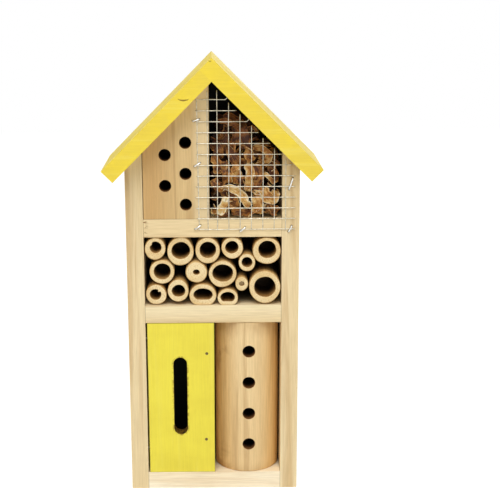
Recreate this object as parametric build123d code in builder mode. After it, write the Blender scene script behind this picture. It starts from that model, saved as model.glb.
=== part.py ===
"""Insect hotel: a small gabled timber house with bamboo tubes, a drilled log and a butterfly chamber.

The origin is on the floor under the middle of the roof. +X is to the right of someone
who faces the front, +Y goes from the front to the back, +Z is up. Millimetres.
"""
from build123d import *
from math import sqrt
import os

os.makedirs("parts", exist_ok=True)

# Driving dimensions of the whole house
HEIGHT = 260.0  # floor to ridge
ROOF_WIDTH = 125.0  # eave tip to eave tip
ROOF_DEPTH = 60.0
ROOF_THICKNESS = 9.2
BODY_WIDTH = 100.0
FRONT_OVERHANG = 10.0  # roof past the front of the body
BACK_OVERHANG = 2.0
PANEL_THICKNESS = 10.0  # side panels
BOARD_THICKNESS = 10.6  # bottom board and shelves
BACK_THICKNESS = 4.0  # back panel
MIDDLE_SHELF_Z = 105.6  # underside of each shelf
UPPER_SHELF_Z = 157.2

# Gable block, square timber with two staggered columns of drilled holes
BLOCK_WIDTH = 38.0
BLOCK_DEPTH = 38.0
BLOCK_RIGHT_X = -1.7
BLOCK_HOLE_RADIUS = 3.5
BLOCK_HOLE_DEPTH = 30.0
BLOCK_HOLE_PITCH = 17.8
BLOCK_COLUMN_X = (-15.2, -26.9)
BLOCK_TOP_HOLE_Z = (212.0, 205.1)
BLOCK_HOLE_COUNT = (3, 2)

# Wire mesh in front of the shavings
WIRE = 0.6
MESH_PITCH_X = 6.5
MESH_PITCH_Z = 6.2
MESH_RIGHT_WIRE_X = 41.9
MESH_FULL_COLUMNS = 7
MESH_SQUEEZED_PITCH = 5.5  # the two columns over the block are pushed together
MESH_BOTTOM_WIRE_Z = 161.9
MESH_ROWS = 13
MESH_LEFT_X = -9.4
MESH_RIGHT_X = 47.4
MESH_BOTTOM_Z = 161.2
MESH_ROOF_GAP = 2.0  # the cut wires stop this far below the roof
STAPLE_CROWN = 5.0
LONG_STAPLE_CROWN = 8.0
STAPLE_WIRE = 1.0
STAPLE_LEG = 6.0

# Butterfly chamber
FRONT_THICKNESS = 8.0
FRONT_LEFT_X = -39.0
FRONT_RIGHT_X = 0.5
SLOT_X = -19.8
SLOT_Z = 59.6
SLOT_WIDTH = 8.2
SLOT_LENGTH = 48.9
DIVIDER_THICKNESS = 8.4
CHAMBER_GAP = 0.2  # play between an insert and the shelf above it

# Drilled log
LOG_RADIUS = 19.1
LOG_X = 20.2
LOG_HOLE_X = 20.9
LOG_HOLE_RADIUS = 3.7
LOG_HOLE_DEPTH = 30.0
LOG_HOLE_Z = 87.4
LOG_HOLE_PITCH = 19.6
LOG_HOLES = 4
LOG_ROUNDING = 0.8

# Fasteners
NAIL_HEAD_RADIUS = 1.5
NAIL_HEAD_THICKNESS = 0.8
NAIL_RADIUS = 0.75
NAIL_POINT = 2.0
BRAD_HEAD_RADIUS = 0.9
BRAD_RADIUS = 0.5
SIDE_NAIL = 26.0
ROOF_NAIL = 15.0
RIDGE_NAIL = 28.0
FRONT_NAIL = 20.0
BACK_NAIL = 16.0
LOG_NAIL = 24.0

# Keyhole hanger on the back
HANGER_WIDTH = 18.0
HANGER_HEIGHT = 34.0
HANGER_THICKNESS = 1.2
HANGER_Z = 216.0
HANGER_BORE_Z = 213.0
HANGER_BORE_RADIUS = 4.0
HANGER_SLOT_RADIUS = 2.0
HANGER_SLOT_TOP_Z = 222.0
HANGER_RECESS_RADIUS = 9.5
HANGER_RECESS_DEPTH = 2.8
HANGER_SCREW_OFFSET = 13.5
SCREW_RADIUS = 1.3
SCREW_LENGTH = 4.6
SCREW_HEAD_RADIUS = 2.6
SCREW_HEAD_THICKNESS = 0.7

# Worked out from the driving dimensions
ROOF_FRONT_Y = -ROOF_DEPTH / 2
ROOF_BACK_Y = ROOF_DEPTH / 2
FRONT_Y = ROOF_FRONT_Y + FRONT_OVERHANG
BACK_Y = ROOF_BACK_Y - BACK_OVERHANG
BACK_PANEL_Y = BACK_Y - BACK_THICKNESS
HALF_BODY = BODY_WIDTH / 2
HALF_INSIDE = HALF_BODY - PANEL_THICKNESS
HALF_ROOF = ROOF_WIDTH / 2
EAVE_Z = HEIGHT - HALF_ROOF  # the roof slopes at 45 degrees
ROOF_STEP = ROOF_THICKNESS / sqrt(2)
INNER_RIDGE_Z = HEIGHT - 2 * ROOF_STEP
UPPER_FLOOR_Z = UPPER_SHELF_Z + BOARD_THICKNESS
TUBE_FLOOR_Z = MIDDLE_SHELF_Z + BOARD_THICKNESS
INSERT_TOP_Z = MIDDLE_SHELF_Z - CHAMBER_GAP


def upright(y):
    """The vertical plane at depth y, facing the front: its own x is X and its own y is Z."""
    return Plane.XZ.offset(-y)


def save(builder, name):
    builder.part.label = name
    export_step(builder.part, f"parts/{name}.step")


def under_roof(x):
    """Height of the roof's underside at x."""
    return INNER_RIDGE_Z - abs(x)


def nail(length, head_radius=NAIL_HEAD_RADIUS, radius=NAIL_RADIUS):
    """One nail in the current location: the head is flush with the surface, the point goes in."""
    Cylinder(head_radius, NAIL_HEAD_THICKNESS, align=(Align.CENTER, Align.CENTER, Align.MAX))
    Cylinder(radius, length - NAIL_POINT, align=(Align.CENTER, Align.CENTER, Align.MAX))
    with Locations((0, 0, -length)):
        Cone(0, radius, NAIL_POINT, align=(Align.CENTER, Align.CENTER, Align.MIN))


def facing(x, y, z, direction):
    """A place on a surface at (x, y, z), whose outward normal is the direction given."""
    return Plane(origin=(x, y, z), z_dir=direction)


# Nails through the side panels into the boards, the block and the butterfly front.
# The wood pieces below are cut by their nails, so that each nail fills its own hole.
BOARD_NAIL_Y = (-8.0, 8.0)
board_centres = [z + BOARD_THICKNESS / 2 for z in (0, MIDDLE_SHELF_Z, UPPER_SHELF_Z)]
side_nail_places = [
    facing(side * HALF_BODY, y, z, (side, 0, 0))
    for side in (-1, 1)
    for z in board_centres
    for y in BOARD_NAIL_Y
]
BLOCK_NAIL_Z = (172.5, 194.5)
side_nail_places += [facing(-HALF_BODY, 0, z, (-1, 0, 0)) for z in BLOCK_NAIL_Z]
EDGE_NAIL_Z = (25.0, 95.0)
edge_nail_y = FRONT_Y + FRONT_THICKNESS / 2
side_nail_places += [facing(-HALF_BODY, edge_nail_y, z, (-1, 0, 0)) for z in EDGE_NAIL_Z]
with BuildPart() as side_nails:
    for place in side_nail_places:
        with Locations(place):
            nail(SIDE_NAIL)
save(side_nails, "side_nails")

# Nails through the roof: into the side panels, and through the lap at the ridge
ROOF_NAIL_Y = (-12.0, 18.0)
panel_middle = HALF_BODY - PANEL_THICKNESS / 2
with BuildPart() as roof_nails:
    for y in ROOF_NAIL_Y:
        for side in (-1, 1):
            top_x = side * (panel_middle + ROOF_STEP)
            top_z = under_roof(panel_middle) + ROOF_STEP
            with Locations(facing(top_x, y, top_z, (side, 0, 1))):
                nail(ROOF_NAIL)
        with Locations(facing(ROOF_STEP / 2, y, HEIGHT - ROOF_STEP / 2, (1, 0, 1))):
            nail(RIDGE_NAIL)
save(roof_nails, "roof_nails")

# Thin brads that hold the butterfly front on its divider
FRONT_NAIL_PLACES = ((-4.0, 86.4), (-4.6, 31.9))
with BuildPart() as front_nails:
    for x, z in FRONT_NAIL_PLACES:
        with Locations(facing(x, FRONT_Y, z, (0, -1, 0))):
            nail(FRONT_NAIL, BRAD_HEAD_RADIUS, BRAD_RADIUS)
save(front_nails, "front_nails")

# Nails through the back panel into the boards
BACK_NAIL_X = 30.0
with BuildPart() as back_nails:
    for z in board_centres:
        for x in (-BACK_NAIL_X, BACK_NAIL_X):
            with Locations(facing(x, BACK_Y, z, (0, 1, 0))):
                nail(BACK_NAIL)
save(back_nails, "back_nails")

# Nails up through the bottom board into the log
log_y = FRONT_Y + LOG_RADIUS
LOG_NAIL_SPREAD = 8.0
with BuildPart() as log_nails:
    for y in (log_y - LOG_NAIL_SPREAD / 2, log_y + LOG_NAIL_SPREAD / 2):
        with Locations(facing(LOG_X, y, 0, (0, 0, -1))):
            nail(LOG_NAIL)
save(log_nails, "log_nails")

# Screws of the hanger plate
hanger_screw_z = (HANGER_Z - HANGER_SCREW_OFFSET, HANGER_Z + HANGER_SCREW_OFFSET)
with BuildPart() as hanger_screws:
    for z in hanger_screw_z:
        with Locations(facing(0, BACK_Y + HANGER_THICKNESS, z, (0, 1, 0))):
            Cylinder(SCREW_HEAD_RADIUS, SCREW_HEAD_THICKNESS, align=(Align.CENTER, Align.CENTER, Align.MIN))
            Cylinder(SCREW_RADIUS, SCREW_LENGTH, align=(Align.CENTER, Align.CENTER, Align.MAX))
save(hanger_screws, "hanger_screws")


# Staples over the edge wires of the mesh: x, z, the turn of the crown in degrees, and its length
STAPLES = (
    (-8.9, 224.9, 15, STAPLE_CROWN),
    (-8.5, 199.6, 30, STAPLE_CROWN),
    (-8.5, 163.2, 34, STAPLE_CROWN),
    (17.3, 161.7, 40, STAPLE_CROWN),
    (44.6, 161.9, 62, STAPLE_CROWN),
    (44.8, 188.2, 71, LONG_STAPLE_CROWN),
)
mesh_y = FRONT_Y - WIRE
with BuildPart() as mesh_staples:
    for x, z, turn, crown in STAPLES:
        crown_plane = Plane(origin=(x, mesh_y, z), x_dir=(1, 0, 0), z_dir=(0, -1, 0))
        with Locations(crown_plane * Rot(0, 0, turn)):
            Box(crown, STAPLE_WIRE, STAPLE_WIRE, align=(Align.CENTER, Align.CENTER, Align.MIN))
            for end in (-1, 1):
                with Locations((end * (crown - STAPLE_WIRE) / 2, 0, 0)):
                    Box(STAPLE_WIRE, STAPLE_WIRE, STAPLE_LEG, align=(Align.CENTER, Align.CENTER, Align.MAX))
save(mesh_staples, "mesh_staples")

# Side panels, with tops bevelled to the roof
for side, name in ((-1, "side_panel_left"), (1, "side_panel_right")):
    with BuildPart() as side_panel:
        with BuildSketch(upright(FRONT_Y)):
            with BuildLine():
                Polyline(
                    (side * HALF_BODY, 0),
                    (side * HALF_BODY, under_roof(HALF_BODY)),
                    (side * HALF_INSIDE, under_roof(HALF_INSIDE)),
                    (side * HALF_INSIDE, 0),
                    close=True,
                )
            make_face()
        extrude(amount=FRONT_Y - BACK_Y)
        for fastener in (side_nails, roof_nails, mesh_staples):
            add(fastener.part, mode=Mode.SUBTRACT)
    save(side_panel, name)

# Bottom board and the two shelves, between the side panels and in front of the back panel
for low, name in ((0, "bottom_board"), (MIDDLE_SHELF_Z, "middle_shelf"), (UPPER_SHELF_Z, "upper_shelf")):
    with BuildPart() as board:
        with BuildSketch(upright(FRONT_Y)):
            with Locations((0, low + BOARD_THICKNESS / 2)):
                Rectangle(2 * HALF_INSIDE, BOARD_THICKNESS)
        extrude(amount=FRONT_Y - BACK_PANEL_Y)
        for fastener in (side_nails, back_nails, log_nails, mesh_staples):
            add(fastener.part, mode=Mode.SUBTRACT)
    save(board, name)

# Back panel, gabled, with a blind recess behind the hanger for the head of the wall screw
with BuildPart() as back_panel:
    with BuildSketch(upright(BACK_PANEL_Y)):
        with BuildLine():
            Polyline(
                (-HALF_INSIDE, 0),
                (HALF_INSIDE, 0),
                (HALF_INSIDE, under_roof(HALF_INSIDE)),
                (0, INNER_RIDGE_Z),
                (-HALF_INSIDE, under_roof(HALF_INSIDE)),
                close=True,
            )
        make_face()
    extrude(amount=BACK_PANEL_Y - BACK_Y)
    with BuildSketch(upright(BACK_Y)):
        with Locations((0, (HANGER_BORE_Z + HANGER_SLOT_TOP_Z) / 2)):
            Circle(HANGER_RECESS_RADIUS)
    extrude(amount=HANGER_RECESS_DEPTH, mode=Mode.SUBTRACT)
    add(back_nails.part, mode=Mode.SUBTRACT)
    add(hanger_screws.part, mode=Mode.SUBTRACT)
save(back_panel, "back_panel")

# Hanger plate: a flat keyhole plate on the back
HANGER_CORNER = 4.0
with BuildPart() as hanger_plate:
    with BuildSketch(upright(BACK_Y)):
        with Locations((0, HANGER_Z)):
            RectangleRounded(HANGER_WIDTH, HANGER_HEIGHT, HANGER_CORNER)
        with Locations((0, HANGER_BORE_Z)):
            Circle(HANGER_BORE_RADIUS, mode=Mode.SUBTRACT)
        slot_middle = (HANGER_BORE_Z + HANGER_SLOT_TOP_Z) / 2
        slot_span = HANGER_SLOT_TOP_Z - HANGER_BORE_Z
        with Locations((0, slot_middle)):
            SlotCenterToCenter(slot_span, 2 * HANGER_SLOT_RADIUS, rotation=90, mode=Mode.SUBTRACT)
    extrude(amount=-HANGER_THICKNESS)
    add(hanger_screws.part, mode=Mode.SUBTRACT)
save(hanger_plate, "hanger_plate")

# Roof boards. The right board runs to the ridge, over the square end of the left board.
with BuildPart() as roof_board_right:
    with BuildSketch(upright(ROOF_FRONT_Y)):
        with BuildLine():
            Polyline(
                (0, HEIGHT),
                (HALF_ROOF, EAVE_Z),
                (HALF_ROOF - ROOF_STEP, EAVE_Z - ROOF_STEP),
                (-ROOF_STEP, HEIGHT - ROOF_STEP),
                close=True,
            )
        make_face()
    extrude(amount=-ROOF_DEPTH)
    add(roof_nails.part, mode=Mode.SUBTRACT)
save(roof_board_right, "roof_board_right")

with BuildPart() as roof_board_left:
    with BuildSketch(upright(ROOF_FRONT_Y)):
        with BuildLine():
            Polyline(
                (-ROOF_STEP, HEIGHT - ROOF_STEP),
                (-HALF_ROOF, EAVE_Z),
                (ROOF_STEP - HALF_ROOF, EAVE_Z - ROOF_STEP),
                (0, INNER_RIDGE_Z),
                close=True,
            )
        make_face()
    extrude(amount=-ROOF_DEPTH)
    add(roof_nails.part, mode=Mode.SUBTRACT)
save(roof_board_left, "roof_board_left")

# Gable block, cut to the left roof slope, with two columns of blind drilled holes
block_left_x = BLOCK_RIGHT_X - BLOCK_WIDTH
with BuildPart() as gable_block:
    with BuildSketch(upright(FRONT_Y)):
        with BuildLine():
            Polyline(
                (block_left_x, UPPER_FLOOR_Z),
                (BLOCK_RIGHT_X, UPPER_FLOOR_Z),
                (BLOCK_RIGHT_X, under_roof(BLOCK_RIGHT_X)),
                (block_left_x, under_roof(block_left_x)),
                close=True,
            )
        make_face()
    extrude(amount=-BLOCK_DEPTH)
    for x, top_z, count in zip(BLOCK_COLUMN_X, BLOCK_TOP_HOLE_Z, BLOCK_HOLE_COUNT):
        for row in range(count):
            with Locations(facing(x, FRONT_Y, top_z - row * BLOCK_HOLE_PITCH, (0, -1, 0))):
                Hole(BLOCK_HOLE_RADIUS, BLOCK_HOLE_DEPTH)
    for fastener in (side_nails, mesh_staples):
        add(fastener.part, mode=Mode.SUBTRACT)
save(gable_block, "gable_block")

# Wire mesh, cut off along the roof
full_columns = [MESH_RIGHT_WIRE_X - i * MESH_PITCH_X for i in range(MESH_FULL_COLUMNS)]
squeezed_columns = [full_columns[-1] - i * MESH_SQUEEZED_PITCH for i in (1, 2)]
mesh_rows = [MESH_BOTTOM_WIRE_Z + i * MESH_PITCH_Z for i in range(MESH_ROWS)]
with BuildPart() as wire_mesh:
    with BuildSketch(upright(FRONT_Y)):
        for x in full_columns + squeezed_columns:
            top_z = under_roof(x) - MESH_ROOF_GAP
            with Locations((x, (MESH_BOTTOM_Z + top_z) / 2)):
                Rectangle(WIRE, top_z - MESH_BOTTOM_Z)
        for z in mesh_rows:
            right_x = min(MESH_RIGHT_X, INNER_RIDGE_Z - z - MESH_ROOF_GAP)
            with Locations(((MESH_LEFT_X + right_x) / 2, z)):
                Rectangle(right_x - MESH_LEFT_X, WIRE)
    extrude(amount=WIRE)
save(wire_mesh, "wire_mesh")

# Wood shavings, as one closed mass that fills the gable beside the block
SHAVINGS_CLEARANCE = 0.4
SHAVINGS_TOP_Z = 224.0
shavings_left = BLOCK_RIGHT_X + SHAVINGS_CLEARANCE
shavings_right = HALF_INSIDE - SHAVINGS_CLEARANCE
shavings_floor = UPPER_FLOOR_Z + SHAVINGS_CLEARANCE
with BuildPart() as wood_shavings:
    with BuildSketch(upright(FRONT_Y + SHAVINGS_CLEARANCE)):
        with BuildLine():
            Polyline(
                (shavings_left, shavings_floor),
                (shavings_right, shavings_floor),
                (shavings_right, under_roof(shavings_right) - MESH_ROOF_GAP),
                (INNER_RIDGE_Z - MESH_ROOF_GAP - SHAVINGS_TOP_Z, SHAVINGS_TOP_Z),
                (shavings_left, SHAVINGS_TOP_Z),
                close=True,
            )
        make_face()
    extrude(amount=-(BACK_PANEL_Y - FRONT_Y - 2 * SHAVINGS_CLEARANCE))
save(wood_shavings, "wood_shavings")

# Round bamboo tubes: centre x and z, outer width and height, bore width and height,
# and how far the bore is off centre to the right and up
TUBE_GAP = 0.3
TUBES = (
    (-33.4, 150.2, 12.3, 13.4, 6.6, 6.8, 0.4, 1.0),
    (-18.7, 148.5, 15.6, 17.2, 10.8, 10.0, 0.2, 0.5),
    (-2.9, 149.1, 14.6, 15.9, 9.4, 9.4, 0.0, 0.4),
    (11.3, 150.5, 12.9, 13.0, 7.6, 7.3, -0.2, 0.4),
    (31.3, 148.7, 16.8, 16.4, 10.3, 10.1, 0.2, 0.8),
    (-29.6, 136.3, 14.8, 14.8, 9.7, 9.6, 0.0, 0.3),
    (-9.6, 136.1, 13.0, 13.0, 3.8, 3.1, 0.0, 0.0),
    (5.6, 135.0, 16.6, 16.4, 11.8, 10.2, 0.0, 0.4),
    (19.8, 141.8, 9.8, 10.8, 6.2, 6.0, 0.0, 0.2),
    (16.8, 129.0, 7.6, 9.0, 3.0, 2.6, 0.0, 0.0),
    (30.3, 127.0, 18.8, 20.4, 12.5, 12.0, 0.0, 0.0),
    (-33.2, 122.7, 12.4, 12.6, 6.6, 6.4, -0.4, 0.0),
    (-20.3, 125.0, 12.6, 14.0, 7.7, 7.0, 0.2, -0.1),
)
tube_length = BACK_PANEL_Y - FRONT_Y - 2 * TUBE_GAP
for number, (x, z, width, height, bore_width, bore_height, off_x, off_z) in enumerate(TUBES, 1):
    with BuildPart() as tube:
        with BuildSketch(upright(FRONT_Y + TUBE_GAP)):
            with Locations((x, z)):
                Ellipse(width / 2, height / 2)
            with Locations((x + off_x, z + off_z)):
                Ellipse(bore_width / 2, bore_height / 2, mode=Mode.SUBTRACT)
        extrude(amount=-tube_length)
    save(tube, f"bamboo_tube_{number:02d}")

# Two split tubes that lie on a flat side: x, width, height, bore width and height, wall below the bore
SPLIT_TUBES = (
    (-5.9, 16.4, 13.1, 11.0, 6.8, 3.2),
    (8.6, 12.6, 10.1, 8.4, 5.6, 2.2),
)
FLAT_DROP = 0.4  # how far below its widest place the oval is cut, as a share of its height


def flat_bottomed(x, floor_z, width, height):
    """An oval cut off flat at floor_z, so that what is left is as high as height."""
    radius_z = height / (1 + 2 * FLAT_DROP)
    middle_z = floor_z + height - radius_z
    oval = Pos(x, middle_z) * Ellipse(width / 2, radius_z)
    return oval & Pos(x, floor_z + height / 2) * Rectangle(width, height)


for number, (x, width, height, bore_width, bore_height, wall) in enumerate(SPLIT_TUBES, len(TUBES) + 1):
    outline = flat_bottomed(x, TUBE_FLOOR_Z, width, height)
    bore = flat_bottomed(x, TUBE_FLOOR_Z + wall, bore_width, bore_height)
    with BuildPart() as tube:
        with BuildSketch(upright(FRONT_Y + TUBE_GAP)):
            add(outline)
            add(bore, mode=Mode.SUBTRACT)
        extrude(amount=-tube_length)
    save(tube, f"bamboo_tube_{number:02d}")

# Butterfly front with its entrance slot, and the divider that it is nailed to
front_width = FRONT_RIGHT_X - FRONT_LEFT_X
front_height = INSERT_TOP_Z - BOARD_THICKNESS
with BuildPart() as butterfly_front:
    with BuildSketch(upright(FRONT_Y)):
        with Locations(((FRONT_LEFT_X + FRONT_RIGHT_X) / 2, BOARD_THICKNESS + front_height / 2)):
            Rectangle(front_width, front_height)
        with Locations((SLOT_X, SLOT_Z)):
            SlotOverall(SLOT_LENGTH, SLOT_WIDTH, rotation=90, mode=Mode.SUBTRACT)
    extrude(amount=-FRONT_THICKNESS)
    for fastener in (side_nails, front_nails):
        add(fastener.part, mode=Mode.SUBTRACT)
save(butterfly_front, "butterfly_front")

with BuildPart() as butterfly_divider:
    with BuildSketch(upright(FRONT_Y + FRONT_THICKNESS)):
        with Locations((FRONT_RIGHT_X - DIVIDER_THICKNESS / 2, BOARD_THICKNESS + front_height / 2)):
            Rectangle(DIVIDER_THICKNESS, front_height)
    extrude(amount=-(BACK_PANEL_Y - FRONT_Y - FRONT_THICKNESS))
    add(front_nails.part, mode=Mode.SUBTRACT)
save(butterfly_divider, "butterfly_divider")

# Log, standing beside the butterfly chamber, drilled from the front
with BuildPart() as drilled_log:
    with BuildSketch(Plane.XY.offset(BOARD_THICKNESS)):
        with Locations((LOG_X, log_y)):
            Circle(LOG_RADIUS)
    extrude(amount=INSERT_TOP_Z - BOARD_THICKNESS)
    fillet(drilled_log.edges().filter_by(GeomType.CIRCLE), LOG_ROUNDING)
    for row in range(LOG_HOLES):
        with Locations(facing(LOG_HOLE_X, FRONT_Y, LOG_HOLE_Z - row * LOG_HOLE_PITCH, (0, -1, 0))):
            Hole(LOG_HOLE_RADIUS, LOG_HOLE_DEPTH)
    add(log_nails.part, mode=Mode.SUBTRACT)
save(drilled_log, "drilled_log")
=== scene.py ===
"""The insect hotel's looks: its materials, the curled shavings, bamboo, mesh, staples, light and camera."""
import random
from math import cos, pi, radians, sin

import bmesh
import bpy
from mathutils import Matrix, Vector, noise


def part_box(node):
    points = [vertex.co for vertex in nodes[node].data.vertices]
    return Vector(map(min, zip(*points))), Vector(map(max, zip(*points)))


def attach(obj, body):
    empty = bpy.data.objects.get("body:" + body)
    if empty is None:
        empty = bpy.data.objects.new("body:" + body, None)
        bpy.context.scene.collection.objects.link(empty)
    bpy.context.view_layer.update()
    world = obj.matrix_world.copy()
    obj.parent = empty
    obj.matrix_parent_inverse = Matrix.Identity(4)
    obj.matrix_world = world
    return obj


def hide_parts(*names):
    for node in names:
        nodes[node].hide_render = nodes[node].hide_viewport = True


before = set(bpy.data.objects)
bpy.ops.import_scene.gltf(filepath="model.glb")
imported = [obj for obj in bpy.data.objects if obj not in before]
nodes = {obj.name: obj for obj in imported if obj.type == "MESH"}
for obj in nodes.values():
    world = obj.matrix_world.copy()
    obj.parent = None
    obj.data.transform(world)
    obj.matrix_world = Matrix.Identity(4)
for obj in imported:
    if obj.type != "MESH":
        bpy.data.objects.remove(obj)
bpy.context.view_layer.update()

MM = 0.001
scene = bpy.context.scene

FRONT_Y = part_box("upper_shelf")[0][1]
BACK_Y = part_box("back_panel")[1][1]
ROOF_FRONT_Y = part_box("roof_board_left")[0][1]
RIDGE_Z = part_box("roof_board_right")[1][2]
TUBE_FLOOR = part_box("middle_shelf")[1][2]
INNER_RIDGE_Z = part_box("back_panel")[1][2]


def srgb(red, green, blue):
    """A colour written as 0 to 255 display values, as linear values."""
    linear = []
    for value in (red, green, blue):
        v = value / 255
        linear.append(v / 12.92 if v <= 0.04045 else ((v + 0.055) / 1.055) ** 2.4)
    return (*linear, 1.0)


# ---------------------------------------------------------------- camera, light and floor

CAMERA_PLACE = Vector((0.0, -0.640, 0.3017))
CAMERA_PITCH = radians(13.79)
CAMERA_ROLL = radians(-0.42)
CAMERA_LENS = 79.45
CAMERA_SHIFT_X = 0.0745


def make_camera():
    data = bpy.data.cameras.new("camera")
    data.lens = CAMERA_LENS
    data.sensor_width = 36
    data.shift_x = CAMERA_SHIFT_X
    data.clip_start = 0.01
    data.clip_end = 50
    camera = bpy.data.objects.new("camera", data)
    scene.collection.objects.link(camera)
    turn = Matrix.Rotation(pi / 2 - CAMERA_PITCH, 4, "X") @ Matrix.Rotation(CAMERA_ROLL, 4, "Z")
    camera.matrix_world = Matrix.Translation(CAMERA_PLACE) @ turn
    scene.camera = camera


def area_light(name, place, target, size, watts):
    data = bpy.data.lights.new(name, "AREA")
    data.shape = "SQUARE"
    data.size = size
    data.energy = watts
    lamp = bpy.data.objects.new(name, data)
    scene.collection.objects.link(lamp)
    lamp.location = place
    lamp.rotation_euler = (Vector(target) - Vector(place)).to_track_quat("-Z", "Y").to_euler()


def camera_sees(tree):
    """1 for what the camera sees directly, in a reflection or through glass, else 0."""
    path = tree.nodes.new("ShaderNodeLightPath")
    first = tree.nodes.new("ShaderNodeMath")
    first.operation = "MAXIMUM"
    tree.links.new(path.outputs["Is Camera Ray"], first.inputs[0])
    tree.links.new(path.outputs["Is Glossy Ray"], first.inputs[1])
    second = tree.nodes.new("ShaderNodeMath")
    second.operation = "MAXIMUM"
    tree.links.new(first.outputs[0], second.inputs[0])
    tree.links.new(path.outputs["Is Transmission Ray"], second.inputs[1])
    return second.outputs[0]


WORLD_STRENGTH = 0.37
FLOOR_LIFT = 0.58
FLOOR_HALF_SIZE = 1.6


def make_world():
    world = bpy.data.worlds.new("world")
    scene.world = world
    world.use_nodes = True
    tree = world.node_tree
    tree.nodes.clear()
    out = tree.nodes.new("ShaderNodeOutputWorld")
    mix = tree.nodes.new("ShaderNodeMixShader")
    lighting = tree.nodes.new("ShaderNodeBackground")
    lighting.inputs["Strength"].default_value = WORLD_STRENGTH
    lighting.inputs["Color"].default_value = (1.0, 1.0, 1.0, 1.0)
    seen = tree.nodes.new("ShaderNodeBackground")
    seen.inputs["Color"].default_value = (1.0, 1.0, 1.0, 1.0)
    tree.links.new(camera_sees(tree), mix.inputs[0])
    tree.links.new(lighting.outputs[0], mix.inputs[1])
    tree.links.new(seen.outputs[0], mix.inputs[2])
    tree.links.new(mix.outputs[0], out.inputs["Surface"])


def make_floor():
    """A pale floor that shows white to the camera and keeps the soft shadow."""
    bm = bmesh.new()
    bmesh.ops.create_grid(bm, x_segments=1, y_segments=1, size=FLOOR_HALF_SIZE)
    mesh = bpy.data.meshes.new("floor")
    bm.to_mesh(mesh)
    bm.free()
    floor = bpy.data.objects.new("floor", mesh)
    scene.collection.objects.link(floor)
    material = bpy.data.materials.new("floor")
    material.use_nodes = True
    tree = material.node_tree
    tree.nodes.clear()
    out = tree.nodes.new("ShaderNodeOutputMaterial")
    add = tree.nodes.new("ShaderNodeAddShader")
    diffuse = tree.nodes.new("ShaderNodeBsdfDiffuse")
    diffuse.inputs["Color"].default_value = (0.78, 0.78, 0.77, 1.0)
    lift = tree.nodes.new("ShaderNodeEmission")
    strength = tree.nodes.new("ShaderNodeMath")
    strength.operation = "MULTIPLY"
    strength.inputs[1].default_value = FLOOR_LIFT
    tree.links.new(camera_sees(tree), strength.inputs[0])
    tree.links.new(strength.outputs[0], lift.inputs["Strength"])
    tree.links.new(diffuse.outputs[0], add.inputs[0])
    tree.links.new(lift.outputs[0], add.inputs[1])
    tree.links.new(add.outputs[0], out.inputs["Surface"])
    mesh.materials.append(material)


# ---------------------------------------------------------------- materials

DEEP_SHADE = srgb(34, 22, 12)


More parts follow.
